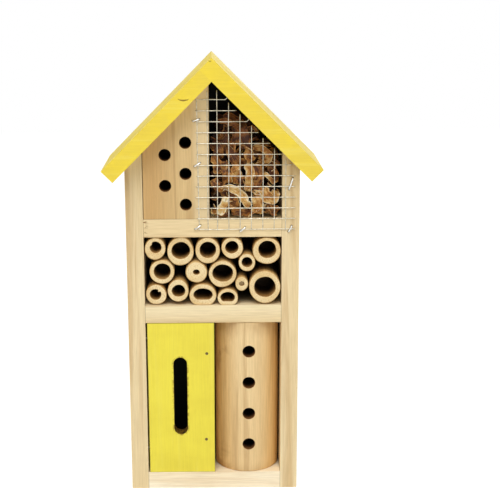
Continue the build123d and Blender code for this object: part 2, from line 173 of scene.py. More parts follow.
class Shader:
    """A material with one Principled shader, and short ways to add nodes to it."""

    def __init__(self, name, roughness=0.6, metallic=0.0, specular=0.35):
        self.material = bpy.data.materials.new(name)
        self.material.use_nodes = True
        self.tree = self.material.node_tree
        self.shader = self.tree.nodes["Principled BSDF"]
        self.shader.inputs["Roughness"].default_value = roughness
        self.shader.inputs["Metallic"].default_value = metallic
        self.shader.inputs["Specular IOR Level"].default_value = specular
        self.place = self.tree.nodes.new("ShaderNodeTexCoord").outputs["Object"]

    def link(self, source, socket):
        self.tree.links.new(source, socket)

    def stretched(self, scale, offset=(0, 0, 0), turn=(0, 0, 0)):
        mapping = self.tree.nodes.new("ShaderNodeMapping")
        mapping.inputs["Scale"].default_value = scale
        mapping.inputs["Location"].default_value = offset
        mapping.inputs["Rotation"].default_value = turn
        self.link(self.place, mapping.inputs["Vector"])
        return mapping.outputs[0]

    def noise(self, vector, scale, detail=4.0, rough=0.55, distortion=0.0):
        tex = self.tree.nodes.new("ShaderNodeTexNoise")
        tex.inputs["Scale"].default_value = scale
        tex.inputs["Detail"].default_value = detail
        tex.inputs["Roughness"].default_value = rough
        tex.inputs["Distortion"].default_value = distortion
        self.link(vector, tex.inputs["Vector"])
        return tex.outputs["Fac"]

    def ramp(self, value, low, high, low_out=0.0, high_out=1.0):
        node = self.tree.nodes.new("ShaderNodeMapRange")
        node.interpolation_type = "SMOOTHSTEP"
        node.inputs["From Min"].default_value = low
        node.inputs["From Max"].default_value = high
        node.inputs["To Min"].default_value = low_out
        node.inputs["To Max"].default_value = high_out
        self.link(value, node.inputs["Value"])
        return node.outputs["Result"]

    def mix(self, factor, first, second, blend="MIX"):
        node = self.tree.nodes.new("ShaderNodeMix")
        node.data_type = "RGBA"
        node.blend_type = blend
        for value, socket in ((factor, node.inputs[0]), (first, node.inputs[6]), (second, node.inputs[7])):
            if isinstance(value, (tuple, float, int)):
                socket.default_value = value
            else:
                self.link(value, socket)
        return node.outputs[2]

    def math(self, operation, first, second=None, third=None):
        node = self.tree.nodes.new("ShaderNodeMath")
        node.operation = operation
        for value, socket in zip((first, second, third), node.inputs):
            if value is None:
                continue
            if isinstance(value, (float, int)):
                socket.default_value = value
            else:
                self.link(value, socket)
        return node.outputs[0]

    def axis(self, name):
        """One coordinate of the place, in metres."""
        split = self.tree.nodes.new("ShaderNodeSeparateXYZ")
        self.link(self.place, split.inputs[0])
        return split.outputs[name]

    def made_colour(self):
        """The socket that the base colour comes from so far."""
        return self.shader.inputs["Base Color"].links[0].from_socket

    def away_from(self, axis, middle):
        """How far the place is from a plane across one axis, in metres."""
        return self.math("ABSOLUTE", self.math("SUBTRACT", self.axis(axis), middle))

    def joint_dirt_and_shadow(self, low, high, axes, depth=0.45 * MM, strength=0.6):
        """Thin dark lines where the board meets its neighbours, at both ends of each axis named: partly
        dirt in the joint and partly painted shadow in the gap.
        """
        for axis in axes:
            i = "XYZ".index(axis)
            middle = (low[i] + high[i]) / 2
            half = (high[i] - low[i]) / 2
            edge = self.ramp(self.away_from(axis, middle), half - depth, half)
            amount = self.math("MULTIPLY", edge, strength)
            self.colour(self.mix(amount, self.made_colour(), JOINT_DIRT_AND_SHADOW))

    def bored(self, holes, radius, face_y, reach=9 * MM):
        """Hole walls: brown at the mouth, and painted shade to near black further in."""
        deep = self.ramp(self.axis("Y"), face_y + 0.4 * MM, face_y + reach)
        tone = self.mix(deep, srgb(128, 84, 44), srgb(16, 10, 6))
        for x, z in holes:
            across = self.math("SUBTRACT", self.axis("X"), x * MM)
            up = self.math("SUBTRACT", self.axis("Z"), z * MM)
            square = self.math("ADD", self.math("MULTIPLY", across, across), self.math("MULTIPLY", up, up))
            away = self.math("SQRT", square)
            inside = self.math("LESS_THAN", away, radius + 0.15 * MM)
            behind = self.math("GREATER_THAN", self.axis("Y"), face_y + 0.25 * MM)
            self.colour(self.mix(self.math("MULTIPLY", inside, behind), self.made_colour(), tone))

    def attribute(self, name):
        """The three values of a colour attribute of the mesh."""
        source = self.tree.nodes.new("ShaderNodeAttribute")
        source.attribute_name = name
        split = self.tree.nodes.new("ShaderNodeSeparateColor")
        self.link(source.outputs["Color"], split.inputs[0])
        return split.outputs

    def tinted(self, factor, tint):
        """Multiplies the base colour by a tint, as far as the factor says."""
        amount = self.mix(factor, (1.0, 1.0, 1.0, 1.0), tint)
        self.colour(self.mix(1.0, self.made_colour(), amount, "MULTIPLY"))

    def painted_shade_inside(self, start, end, amount=0.8, dark=DEEP_SHADE):
        """Painted shade: deeper in along Y, where little light reaches, the colour goes darker."""
        deep = self.math("MULTIPLY", self.ramp(self.axis("Y"), start, end), amount)
        self.colour(self.mix(deep, self.made_colour(), dark))

    def colour(self, value):
        self.link(value, self.shader.inputs["Base Color"])

    def bump(self, height, strength=0.3, distance=0.0003):
        node = self.tree.nodes.new("ShaderNodeBump")
        node.inputs["Strength"].default_value = strength
        node.inputs["Distance"].default_value = distance
        self.link(height, node.inputs["Height"])
        self.link(node.outputs[0], self.shader.inputs["Normal"])

    def rough(self, value, low, high):
        self.link(self.ramp(value, 0.2, 0.8, low, high), self.shader.inputs["Roughness"])


# The colour of the joint lines: partly dirt, partly painted shadow in the gap between boards
JOINT_DIRT_AND_SHADOW = srgb(96, 66, 36)
ALONG = {"X": (0.04, 1.0, 1.0), "Y": (1.0, 0.04, 1.0), "Z": (1.0, 1.0, 0.04)}


def wood(name, pale, tan, streak, grain, seed, streak_amount=0.45, rings=150.0, bump=0.35):
    """Bare sawn pine: broad tone, growth lines and fine fibres along the grain, with a few pores."""
    s = Shader(name, roughness=0.62, specular=0.25)
    long = s.stretched(ALONG[grain], offset=(seed, seed * 1.7, seed * 0.6))
    broad = s.noise(long, 28.0, 3.0, 0.5, 0.6)
    lines = s.noise(long, rings, 3.0, 0.5, 1.2)
    fibres = s.noise(long, 1500.0, 3.0, 0.6)
    pores = s.noise(long, 4200.0, 2.0, 0.5)
    base = s.mix(s.ramp(broad, 0.34, 0.66), pale, tan)
    late = s.math("MULTIPLY", s.ramp(lines, 0.50, 0.68), streak_amount)
    base = s.mix(late, base, streak)
    fine = s.mix(s.ramp(fibres, 0.25, 0.75), (0.90, 0.88, 0.84, 1.0), (1.06, 1.06, 1.05, 1.0))
    base = s.mix(1.0, base, fine, "MULTIPLY")
    dots = s.math("MULTIPLY", s.ramp(pores, 0.66, 0.74), 0.35)
    s.colour(s.mix(dots, base, streak))
    s.bump(s.math("MULTIPLY_ADD", lines, 0.6, s.math("MULTIPLY", fibres, 0.6)), bump, 0.00025)
    s.rough(fibres, 0.55, 0.72)
    return s


def paint(name, body, shade, pale, grain, seed, worn=0.3):
    """Matt paint on pine: the grain shows through in soft ridges, with thin and thick places."""
    s = Shader(name, roughness=0.55, specular=0.3)
    long = s.stretched(ALONG[grain], offset=(seed, seed * 2.1, seed * 0.4))
    broad = s.noise(s.stretched((1, 1, 1), offset=(seed, 0, 0)), 38.0, 4.0, 0.6, 0.4)
    lines = s.noise(long, 230.0, 4.0, 0.55, 0.8)
    fibres = s.noise(long, 1300.0, 3.0, 0.6)
    mottle = s.noise(s.stretched((1, 1, 1), offset=(0, seed, 0)), 900.0, 2.0)
    base = s.mix(s.ramp(broad, 0.30, 0.70), body, shade)
    base = s.mix(s.math("MULTIPLY", s.ramp(lines, 0.52, 0.72), worn), base, pale)
    fine = s.mix(s.ramp(fibres, 0.25, 0.75), (0.955, 0.95, 0.92, 1.0), (1.03, 1.03, 1.03, 1.0))
    base = s.mix(1.0, base, fine, "MULTIPLY")
    s.colour(s.mix(s.math("MULTIPLY", s.ramp(mottle, 0.62, 0.75), 0.08), base, shade))
    s.bump(s.math("MULTIPLY_ADD", lines, 0.8, s.math("MULTIPLY", fibres, 0.25)), 0.12, 0.0001)
    s.rough(broad, 0.48, 0.62)
    return s


PINE = (srgb(243, 226, 186), srgb(228, 203, 155), srgb(196, 158, 104))
PALE_BOARD = (srgb(255, 248, 230), srgb(250, 234, 202), srgb(220, 188, 140))


def board_materials():
    """Each board has its own seed, so that no two show the same grain."""
    grain = {
        "side_panel_left": ("Z", 1.3),
        "side_panel_right": ("Z", 4.1),
        "bottom_board": ("X", 7.7),
        "middle_shelf": ("X", 2.9),
        "upper_shelf": ("X", 5.2),
        "butterfly_divider": ("Z", 9.4),
    }
    for node, (direction, seed) in grain.items():
        tones = PALE_BOARD if node == "bottom_board" else PINE
        s = wood("wood_" + node, *tones, direction, seed)
        low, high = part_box(node)
        if direction == "X":
            # dark joint lines at the ends, partly dirt and partly painted shadow, and painted shade deeper
            # in
            s.joint_dirt_and_shadow(low, high, "X")
            s.painted_shade_inside(FRONT_Y + 3 * MM, FRONT_Y + 22 * MM)
        if node in ("side_panel_left", "side_panel_right"):
            # painted shade under the roof's overhang: the panels are a little darker towards the roof
            s.tinted(s.ramp(s.axis("Z"), TUBE_FLOOR, high[2]), srgb(238, 234, 228))
        if node == "upper_shelf":
            # torn end grain where the saw came out, at the left end
            near_end = s.ramp(s.axis("X"), low[0] + 3.6 * MM, low[0] + 0.4 * MM)
            fibres = s.noise(s.stretched((0.25, 1, 1), offset=(0, 0.2, 0.1)), 900.0, 3.0, 0.7)
            torn = s.ramp(fibres, 0.50, 0.62)
            s.colour(s.mix(s.math("MULTIPLY", near_end, torn), s.made_colour(), srgb(132, 92, 48)))
        finish(node, s)
    back = wood("wood_back_panel", srgb(226, 200, 156), srgb(205, 172, 120), srgb(160, 118, 70), "X", 3.3)
    # painted shade: the back panel's inner face is near black
    inner = back.math("LESS_THAN", back.axis("Y"), BACK_Y - 3.5 * MM)
    back.colour(back.mix(inner, back.made_colour(), srgb(13, 8, 5)))
    finish("back_panel", back)


# The holes' places as x and z in millimetres: two columns in the block and one in the log
BLOCK_HOLES = [(-15.2, z) for z in (212.0, 194.2, 176.4)] + [(-26.9, z) for z in (205.1, 187.3)]
BLOCK_HOLE_RADIUS = 3.5 * MM
LOG_HOLES = [(20.9, 87.4 - 19.6 * i) for i in range(4)]
LOG_HOLE_RADIUS = 3.7 * MM


def block_material():
    """Vertical grain, orange tan on the left and paler to the right."""
    tones = (srgb(220, 193, 143), srgb(206, 176, 126), srgb(166, 126, 78))
    s = wood("wood_gable_block", *tones, "Z", 6.1, 0.4, 120.0)
    low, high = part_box("gable_block")
    left = s.ramp(s.axis("X"), low[0] + 4 * MM, low[0] + 22 * MM)
    tint = s.mix(left, srgb(240, 224, 204), srgb(255, 253, 248))
    s.colour(s.mix(1.0, s.made_colour(), tint, "MULTIPLY"))
    right = s.ramp(s.axis("X"), high[0] - 11 * MM, high[0] - 6 * MM)
    s.colour(s.mix(s.math("MULTIPLY", right, 0.5), s.made_colour(), srgb(228, 210, 170)))
    # dark joint lines, partly dirt and partly painted shadow in the gaps
    s.joint_dirt_and_shadow(low, high, "XZ")
    # the holes get painted shade deeper in
    s.bored(BLOCK_HOLES, BLOCK_HOLE_RADIUS, FRONT_Y)
    finish("gable_block", s)


def log_material():
    """Peeled log: pale tan with long vertical streaks and brown stains low on its left side."""
    tones = (srgb(240, 214, 164), srgb(224, 188, 132), srgb(170, 122, 68))
    s = wood("wood_drilled_log", *tones, "Z", 8.3, 0.35, 170.0)
    made = s.made_colour()
    patches = s.noise(s.stretched((1, 1, 0.45), offset=(2.0, 0, 1.0)), 70.0, 4.0, 0.65, 0.5)
    near_left = s.ramp(s.axis("X"), 16 * MM, 4 * MM)
    stain = s.math("MULTIPLY", s.ramp(patches, 0.46, 0.66), s.math("MULTIPLY", near_left, 0.55))
    base = s.mix(stain, made, srgb(140, 88, 44))
    top_end = s.ramp(s.axis("Z"), 94 * MM, 105.2 * MM)
    ends = s.math("MAXIMUM", top_end, s.ramp(s.axis("Z"), 18 * MM, 10.6 * MM))
    soiled = s.math("MULTIPLY", ends, s.ramp(patches, 0.35, 0.75, 0.15, 0.6))
    s.colour(s.mix(soiled, base, srgb(176, 130, 80)))
    low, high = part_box("drilled_log")
    middle = (low[0] + high[0]) / 2
    # painted shade: the round sides of the log are darker and more orange than its middle
    painted_round_shade = s.ramp(s.away_from("X", middle), 6 * MM, 19 * MM)
    tint = s.mix(painted_round_shade, srgb(255, 255, 255), srgb(252, 238, 208))
    s.colour(s.mix(1.0, s.made_colour(), tint, "MULTIPLY"))
    # the holes get painted shade deeper in
    s.bored(LOG_HOLES, LOG_HOLE_RADIUS, low[1])
    finish("drilled_log", s)


SLOT_X = -19.8 * MM
SLOT_Z = 59.6 * MM
SLOT_WIDTH = 8.2 * MM
SLOT_LENGTH = 48.9 * MM


def painted_materials():
    roof = (srgb(238, 212, 60), srgb(228, 202, 72), srgb(246, 232, 120))
    finish("roof_board_left", paint("paint_roof_left", *roof, "X", 1.1))
    finish("roof_board_right", paint("paint_roof_right", *roof, "X", 6.6))
    finish("roof_nails", paint("paint_roof_nails", *roof, "Z", 2.2))
    front = (srgb(240, 225, 76), srgb(231, 214, 72), srgb(246, 235, 116))
    s = paint("paint_butterfly_front", *front, "Z", 3.7, 0.22)
    low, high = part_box("butterfly_front")
    # dark lines at the edges, partly dirt and partly painted shadow in the gaps
    s.joint_dirt_and_shadow(low, high, "XZ", 0.5 * MM, 0.55)
    # The slot is routed after painting, so its walls are bare wood; their dark brown is painted shade in
    # the slot
    near_x = s.math("LESS_THAN", s.away_from("X", SLOT_X), SLOT_WIDTH / 2 + 0.15 * MM)
    near_z = s.math("LESS_THAN", s.away_from("Z", SLOT_Z), SLOT_LENGTH / 2 + 0.15 * MM)
    behind = s.math("GREATER_THAN", s.axis("Y"), low[1] + 0.3 * MM)
    walls = s.math("MULTIPLY", s.math("MULTIPLY", near_x, near_z), behind)
    s.colour(s.mix(walls, s.made_colour(), srgb(58, 40, 16)))
    # Round the mouth of the slot the paint is scuffed off in places
    past_end = s.math("SUBTRACT", s.away_from("Z", SLOT_Z), (SLOT_LENGTH - SLOT_WIDTH) / 2)
    past_end = s.math("MAXIMUM", past_end, 0.0)
    beside = s.away_from("X", SLOT_X)
    square = s.math("ADD", s.math("MULTIPLY", past_end, past_end), s.math("MULTIPLY", beside, beside))
    from_edge = s.math("SUBTRACT", s.math("SQRT", square), SLOT_WIDTH / 2)
    scuffs = s.noise(s.stretched((1, 1, 1), offset=(0.4, 0, 0)), 420.0, 4.0, 0.7)
    scuffed = s.math("MULTIPLY", s.ramp(from_edge, 1.3 * MM, 0.0), s.ramp(scuffs, 0.42, 0.60))
    s.colour(s.mix(s.math("MULTIPLY", scuffed, 0.8), s.made_colour(), srgb(142, 108, 36)))
    finish("butterfly_front", s)


def steel(name, base, dark, roughness, metallic=0.85):
    s = Shader(name, roughness=roughness, metallic=metallic, specular=0.5)
    spots = s.noise(s.stretched((1, 1, 1)), 700.0, 4.0, 0.6)
    fine = s.noise(s.stretched((1, 1, 1)), 3000.0, 2.0)
    s.colour(s.mix(s.ramp(spots, 0.4, 0.7), base, dark))
    s.bump(fine, 0.2, 0.0001)
    s.rough(spots, roughness - 0.08, roughness + 0.12)
    return s


def finish(node, shader):
    """Gives a CAD node its material."""
    slots = nodes[node].data.materials
    slots.clear()
    slots.append(shader.material)


def metal_materials():
    finish("hanger_plate", steel("zinc_plate", srgb(205, 208, 210), srgb(170, 173, 178), 0.38))
    finish("hanger_screws", steel("screw_steel", srgb(215, 215, 212), srgb(168, 168, 165), 0.3))
    dull = steel("nail_steel", srgb(176, 172, 164), srgb(116, 106, 94), 0.5)
    for node in ("side_nails", "back_nails", "log_nails"):
        finish(node, dull)
    finish("front_nails", steel("stained_nail", srgb(120, 98, 48), srgb(78, 62, 34), 0.6, 0.3))


WOODEN = (
    "side_panel_left", "side_panel_right", "bottom_board", "middle_shelf", "upper_shelf", "back_panel",
    "gable_block", "butterfly_divider", "butterfly_front", "roof_board_left", "roof_board_right",
    "drilled_log",
)


def soften_edges():
    """Real sawn and sanded boards have slightly rounded edges."""
    for name in WOODEN:
        bevel = nodes[name].modifiers.new("softened", "BEVEL")
        bevel.width = 0.35 * MM
        bevel.segments = 2
        bevel.limit_method = "ANGLE"
        bevel.angle_limit = radians(40)
        bevel.harden_normals = False


# ---------------------------------------------------------------- pieces

def add_piece(name, bm, materials, replaced=()):
    """Makes a piece from a bmesh. It rides on the one body, and may stand for CAD nodes."""
    bmesh.ops.recalc_face_normals(bm, faces=bm.faces)
    for face in bm.faces:
        face.smooth = True
    mesh = bpy.data.meshes.new(name)
    bm.to_mesh(mesh)
    bm.free()
    piece = bpy.data.objects.new(name, mesh)
    scene.collection.objects.link(piece)
    for shader in materials:
        mesh.materials.append(shader.material)
    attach(piece, "root")
    if replaced:
        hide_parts(*replaced)
    return piece


def bridge(bm, first, second, material=0):
    """Quads between two closed rings of the same length."""
    count = len(first)
    for i in range(count):
        j = (i + 1) % count
        face = bm.faces.new((first[i], first[j], second[j], second[i]))
        face.material_index = material


# Bamboo: bore width and height and how far the bore is off centre to the right and up, in
# millimetres, and for a split tube how far its flat underside is from its middle
BORES = (
    (6.6, 6.8, 0.4, 1.0), (10.8, 10.0, 0.2, 0.5), (9.4, 9.4, 0.0, 0.4), (7.6, 7.3, -0.2, 0.4),
    (10.3, 10.1, 0.2, 0.8), (9.7, 9.6, 0.0, 0.3), (3.8, 3.1, 0.0, 0.0), (11.8, 10.2, 0.0, 0.4),
    (6.2, 6.0, 0.0, 0.2), (3.0, 2.6, 0.0, 0.0), (12.5, 12.0, 0.0, 0.0), (6.6, 6.4, -0.4, 0.0),
    (7.7, 7.0, 0.2, -0.1), (11.0, 6.8, 0.0, 0.0), (8.4, 5.6, 0.0, 0.0),
)
SPLIT = {14: 3.2, 15: 2.2}  # the wall under the bore of each tube that lies on a flat side
FLAT_DROP = 0.4
TUBE_SIDES = 72
PLUG_DEPTH = {7: 0.30, 10: 0.05}  # how far in the pith closes the two narrowest stems


def bamboo_materials():
    skin_tones = (srgb(214, 180, 120), srgb(188, 148, 88), srgb(130, 90, 46))
    skin = wood("bamboo_skin", *skin_tones, "Y", 2.4, 0.5, 260.0)
    # painted shade: the skin goes darker deeper behind the front
    skin.painted_shade_inside(FRONT_Y + 2 * MM, FRONT_Y + 15 * MM, 0.92)
    end = Shader("bamboo_end", roughness=0.7, specular=0.2)
    spots = end.noise(end.stretched((1, 0.1, 1)), 1500.0, 3.0, 0.6)
    broad = end.noise(end.stretched((1, 1, 1)), 90.0, 3.0)
    pale = end.mix(end.ramp(broad, 0.3, 0.7), srgb(240, 218, 170), srgb(226, 196, 140))
    end.colour(end.mix(end.math("MULTIPLY", end.ramp(spots, 0.50, 0.64), 0.5), pale, srgb(190, 146, 92)))
    end.bump(spots, 0.4, 0.0003)
    bore_tones = (srgb(184, 142, 84), srgb(154, 112, 60), srgb(100, 66, 32))
    bore = wood("bamboo_bore", *bore_tones, "Y", 5.9, 0.4, 300.0)
    # painted shade: the bore goes nearly black deeper in
    bore.painted_shade_inside(FRONT_Y + 1 * MM, FRONT_Y + 18 * MM, 0.97)
    pith_tones = (srgb(226, 202, 156), srgb(196, 164, 112), srgb(140, 104, 66))
    pith = wood("bamboo_pith", *pith_tones, "Y", 7.1, 0.3, 500.0)
    # painted shade: the node wall's pith goes darker deeper in
    pith.painted_shade_inside(FRONT_Y + 4 * MM, FRONT_Y + 10 * MM, 0.97)
    return skin, end, bore, pith


def oval(angle, half_width, half_height, middle, flat):
    """A point on a tube's outline. With flat set, the outline goes no lower than that."""
    x = middle[0] + half_width * cos(angle)
    z = middle[1] + half_height * sin(angle)
    if flat is not None:
        z = max(z, flat)
    return x, z


def wobble(angle, seed, amount):
    """A smooth closed unevenness, so that no stem is a perfect oval."""
    p = Vector((cos(angle) * 0.9 + seed * 3.1, sin(angle) * 0.9, seed))
    return 1.0 + amount * noise.noise(p)


# A tag of fibre that the saw left in the mouth of a bore: its angle in degrees, how far it reaches in
# as a share of the bore's radius, and its spread in degrees
BURRS = {1: (150, 0.22, 26), 12: (48, 0.42, 15)}


def burr(angle, number):
    if number not in BURRS:
        return 0.0
    middle, reach, spread = BURRS[number]
    turn = (angle - radians(middle) + pi) % (2 * pi) - pi
    return reach * max(0.0, 1 - abs(turn) / radians(spread))


def make_tube(number, materials):
    name = f"bamboo_tube_{number:02d}"
    low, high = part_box(name)
    half_width = (high[0] - low[0]) / 2
    centre_x = (high[0] + low[0]) / 2
    bore_width, bore_height, off_x, off_z = (v * MM for v in BORES[number - 1])
    if number in SPLIT:
        height = high[2] - low[2]
        half_height = height / (1 + 2 * FLAT_DROP)
        middle = (centre_x, high[2] - half_height)
        flat = low[2]
        bore_half = bore_height / (1 + 2 * FLAT_DROP)
        bore_floor = low[2] + SPLIT[number] * MM
        bore_middle = (centre_x, bore_floor + bore_height - bore_half)
    else:
        half_height = (high[2] - low[2]) / 2
        middle = (centre_x, (high[2] + low[2]) / 2)
        flat = None
        bore_half = bore_height / 2
        bore_floor = None
        bore_middle = (centre_x + off_x, middle[1] + off_z)
    rng = random.Random(40 + number)
    front = low[1] + rng.uniform(0.0, 0.9) * MM
    back = high[1]
    bm = bmesh.new()

    def ring(y, share, rough=0.0, shrink=0.0):
        """A ring at depth y, between the outer skin (share 0) and the bore (share 1)."""
        verts = []
        for i in range(TUBE_SIDES):
            a = 2 * pi * i / TUBE_SIDES
            out = wobble(a, number, 0.05) * 0.975 - shrink
            outer = oval(a, half_width * out, half_height * out, middle, flat)
            inn = wobble(a, number + 50, 0.07) * (1 - burr(a, number))
            inner = oval(a, bore_width / 2 * inn, bore_half * inn, bore_middle, bore_floor)
            x = outer[0] + (inner[0] - outer[0]) * share
            z = outer[1] + (inner[1] - outer[1]) * share
            jitter = rough * noise.noise(Vector((x * 900, z * 900, number)))
            verts.append(bm.verts.new((x, y + jitter, z)))
        return verts

    saw = 0.18 * MM
    rim = 0.35 * MM
    length = back - front
    rings = [(ring(back, 0.97), 0)]
    for step in range(7, 0, -1):
        rings.append((ring(front + length * step / 8, 0.0, 0.0, 0.004 * (step % 2)), 0))
    rings.append((ring(front + rim, 0.0), 0))
    rings.append((ring(front + 0.25 * rim, 0.03), 0))
    rings.append((ring(front, 0.11, saw), 0))
    for share in (0.3, 0.5, 0.7, 0.90):
        rings.append((ring(front, share, saw), 1))
    rings.append((ring(front + 0.3 * rim, 0.98), 1))
    rings.append((ring(front + 1.2 * rim, 1.0), 2))
    plug = length * PLUG_DEPTH.get(number, 0.55)
    steps = 6
    for step in range(1, steps + 1):
        rings.append((ring(front + plug * step / steps, 1.0 + 0.02 * (step % 2)), 2))
    for (first, _), (second, material) in zip(rings, rings[1:]):
        bridge(bm, first, second, material)
    # The node wall inside the stem closes the bore
    stop = bm.faces.new(rings[-1][0])
    stop.material_index = 3
    bottom = bm.faces.new(rings[0][0])
    bottom.material_index = 1
    add_piece(name + "_stem", bm, materials, (name,))


# Shavings
SHAVING_THICKNESS = 0.16 * MM
RIBBON_COUNT = 60
CURL_COUNT = 130
SLIVER_COUNT = 60

# The long shavings that lie against the mesh. Each has the places that its middle passes, as x, z and
# the depth behind the mesh in millimetres, then its width, its roll in degrees and its tone, from 0 for
# amber brown to 1 for pale
LONG_SHAVINGS = (
    (((3.4, 223.6, 4), (7.5, 223.9, 2), (12.0, 222.4, 2), (15.6, 219.6, 4)), 2.8, 35, 0.62),
    (((15.8, 224.0, 5), (17.2, 219.0, 2), (19.0, 214.0, 2), (19.4, 207.0, 4)), 4.6, -20, 0.34),
    (((12.8, 221.0, 4), (14.2, 216.0, 3), (13.0, 210.0, 5)), 4.0, 30, 0.50),
    (((20.5, 219.4, 3), (23.6, 220.4, 2), (26.0, 218.2, 4)), 2.6, 40, 0.70),
    (((5.0, 217.0, 6), (8.0, 212.0, 4), (7.4, 205.0, 6)), 6.0, 25, 0.26),
    (((10.4, 211.6, 3), (11.2, 205.8, 1.5), (14.0, 201.0, 2.5), (17.4, 199.4, 5)), 5.0, -30, 0.44),
    (((0.2, 211.4, 6), (3.2, 208.0, 3), (3.6, 202.0, 5)), 5.0, 20, 0.30),
    (((21.2, 209.0, 4), (21.0, 204.4, 2), (22.6, 200.6, 3)), 4.2, 15, 0.60),
    (((23.6, 208.6, 4), (28.6, 208.2, 1.5), (32.2, 204.6, 1.5), (31.0, 199.2, 4)), 3.4, 40, 0.74),
    (((27.6, 206.0, 6), (30.2, 202.6, 4), (28.0, 197.6, 6)), 6.0, -25, 0.40),
    (((1.2, 204.2, 3), (2.8, 199.4, 1.5), (3.2, 193.6, 3)), 4.2, 10, 0.55),
    (((6.2, 198.6, 4), (8.4, 194.4, 1.5), (9.4, 188.4, 3)), 4.8, -15, 0.52),
    (((11.2, 190.6, 3), (14.4, 191.0, 1.5), (17.6, 189.4, 3)), 4.6, 10, 0.42),
    (((18.8, 198.6, 2), (21.6, 196.0, 1), (21.2, 189.6, 1.5), (20.2, 183.4, 3)), 3.8, 25, 0.88),
    (((24.4, 198.8, 4), (26.6, 193.0, 2), (25.6, 186.2, 3), (26.8, 180.4, 4)), 4.4, -25, 0.36),
    (((29.6, 194.0, 2), (33.0, 191.4, 1.2), (35.6, 187.8, 3)), 2.4, 30, 0.70),
    (((29.0, 184.8, 4), (31.0, 181.0, 1.5), (34.4, 178.6, 1.5), (36.2, 183.4, 4)), 5.0, -10, 0.80),
    (((3.0, 184.2, 4), (8.4, 186.0, 1.5), (14.4, 183.8, 1), (20.2, 177.4, 2)), 4.0, 35, 0.92),
    (((8.6, 180.2, 1), (6.4, 175.6, 0.8), (3.6, 170.0, 1.5)), 3.8, 15, 1.0),
    (((9.8, 181.4, 4), (12.6, 177.6, 2), (13.0, 172.4, 4)), 4.6, 20, 0.48),
    (((16.0, 180.6, 2), (18.6, 177.4, 1), (21.6, 174.8, 2)), 3.4, -35, 0.95),
    (((24.0, 180.4, 3), (26.4, 176.0, 1.5), (25.6, 170.4, 3)), 5.0, 10, 0.78),
    (((30.4, 176.6, 4), (34.0, 173.4, 2), (37.4, 171.0, 4)), 5.0, 30, 0.38),
    (((11.0, 171.6, 3), (16.4, 171.4, 2), (22.6, 170.2, 4)), 3.6, 20, 0.30),
    (((0.4, 172.6, 4), (4.6, 170.4, 3), (9.8, 169.8, 4)), 3.4, 20, 0.28),
    (((33.4, 198.0, 5), (35.4, 193.6, 3), (34.6, 188.0, 5)), 4.6, 20, 0.30),
    (((0.6, 190.4, 3), (2.8, 187.0, 2), (6.8, 185.4, 3)), 4.4, -20, 0.46),
    (((14.2, 199.2, 3), (13.0, 195.4, 2), (16.2, 193.4, 3)), 3.4, 15, 0.66),
)


def shaving_material():
    """Thin pine: amber to straw, paler at the torn edges, partly as a painted highlight, with fibres along
    each shaving, and painted shade deeper in and under the roof.
    """
    s = Shader("shaving_wood", roughness=0.55, specular=0.3)
    tone = s.attribute("tone")
    flow = s.attribute("flow")
    shade = s.math("MULTIPLY_ADD", tone[0], 0.9, -0.04)
    fibre_place = s.tree.nodes.new("ShaderNodeCombineXYZ")
    s.link(s.math("MULTIPLY", flow[1], 9.0), fibre_place.inputs[0])
    s.link(s.math("MULTIPLY", flow[0], 1.6), fibre_place.inputs[1])
    s.link(s.math("MULTIPLY", flow[2], 60.0), fibre_place.inputs[2])
    fibres = s.noise(fibre_place.outputs[0], 3.0, 4.0, 0.65, 0.6)
    patches = s.noise(s.place, 240.0, 3.0)
    lit = s.math("MULTIPLY_ADD", s.ramp(fibres, 0.3, 0.7, -0.5, 0.5), 0.32, shade)
    lit = s.math("MULTIPLY_ADD", s.ramp(patches, 0.35, 0.65, -0.5, 0.5), 0.34, lit)
    base = s.mix(s.ramp(lit, -0.1, 0.24), srgb(74, 36, 10), srgb(168, 110, 46))
    base = s.mix(s.ramp(lit, 0.22, 0.58), base, srgb(214, 170, 102))
    base = s.mix(s.ramp(lit, 0.55, 1.0), base, srgb(248, 230, 196))
    s.colour(base)
    # painted shade: the shavings go dark deeper in the chamber
    s.painted_shade_inside(FRONT_Y + 4 * MM, FRONT_Y + 14 * MM, 0.90, srgb(56, 24, 7))
    # painted shade under the roof: the upper shavings are darker
    s.tinted(s.ramp(s.axis("Z"), 198 * MM, 222 * MM), srgb(186, 168, 150))
    s.bump(fibres, 0.5, 0.0003)
    s.shader.inputs["Subsurface Weight"].default_value = 0.25
    s.shader.inputs["Subsurface Radius"].default_value = (1.0, 0.55, 0.25)
    s.shader.inputs["Subsurface Scale"].default_value = 0.0012
    return s


def keep_in_gable(p):
    """The nearest place that is inside the chamber for the shavings."""
    low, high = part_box("wood_shavings")
    play = 0.35 * MM
    x = min(max(p.x, low[0] + play), high[0] - play)
    y = min(max(p.y, low[1] + play), high[1] - play)
    z = max(p.z, low[2] + play)
    return Vector((x, y, min(z, INNER_RIDGE_Z - abs(x) - 2.4 * MM)))


def smooth_path(points, count):
    """Points along a Catmull-Rom curve through the places given."""
    ends = [points[0] * 2 - points[1], *points, points[-1] * 2 - points[-2]]
    spans = len(points) - 1
    path = []
    for i in range(count + 1):
        place = min(i / count * spans, spans - 1e-6)
        k = int(place)
        t = place - k
        a, b, c, d = ends[k:k + 4]
        square = a * 2 - b * 5 + c * 4 - d
        cube = b * 3 - a - c * 3 + d
        path.append((b * 2 + (c - a) * t + square * t**2 + cube * t**3) / 2)
    return path


